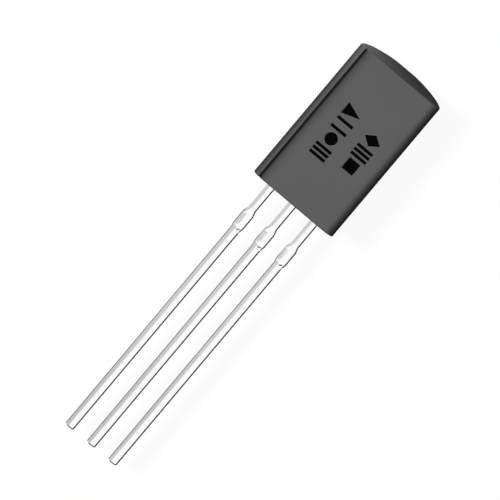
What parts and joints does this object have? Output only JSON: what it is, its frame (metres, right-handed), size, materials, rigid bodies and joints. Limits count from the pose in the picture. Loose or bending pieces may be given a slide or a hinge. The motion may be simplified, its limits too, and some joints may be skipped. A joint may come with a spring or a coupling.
{
  "type": "to-92 transistor",
  "caption": "Through-hole plastic transistor: a long D-shaped moulded body holding a chip, with a row of straight tinned leads out of one end.",
  "frame": {"origin": "middle of the part's box in X and Y, on the surface that the rounded back rests on", "axes": "+Z out of the flat marked face, +Y along the body's axis towards its plain end, leads along -Y, +X to the right seen on the flat face with the leads down"},
  "size_m": [0.0046, 0.0222, 0.0034],
  "materials": {
    "moulding": "dark grey moulded epoxy, fine matte grain",
    "ink": "matte black print",
    "tinned_lead": "bright satin tin plating",
    "silicon": "polished silicon",
    "solder": "dull solder",
    "gold_wire": "bright gold"
  },
  "bodies": {
    "root": {"body": "moulding", "marking": "ink", "emitter_lead": "tinned_lead", "collector_lead": "tinned_lead", "base_lead": "tinned_lead", "transistor_chip": "silicon", "die_attach": "solder", "emitter_bond_wire": "gold_wire", "base_bond_wire": "gold_wire"}
  },
  "joints": []
}
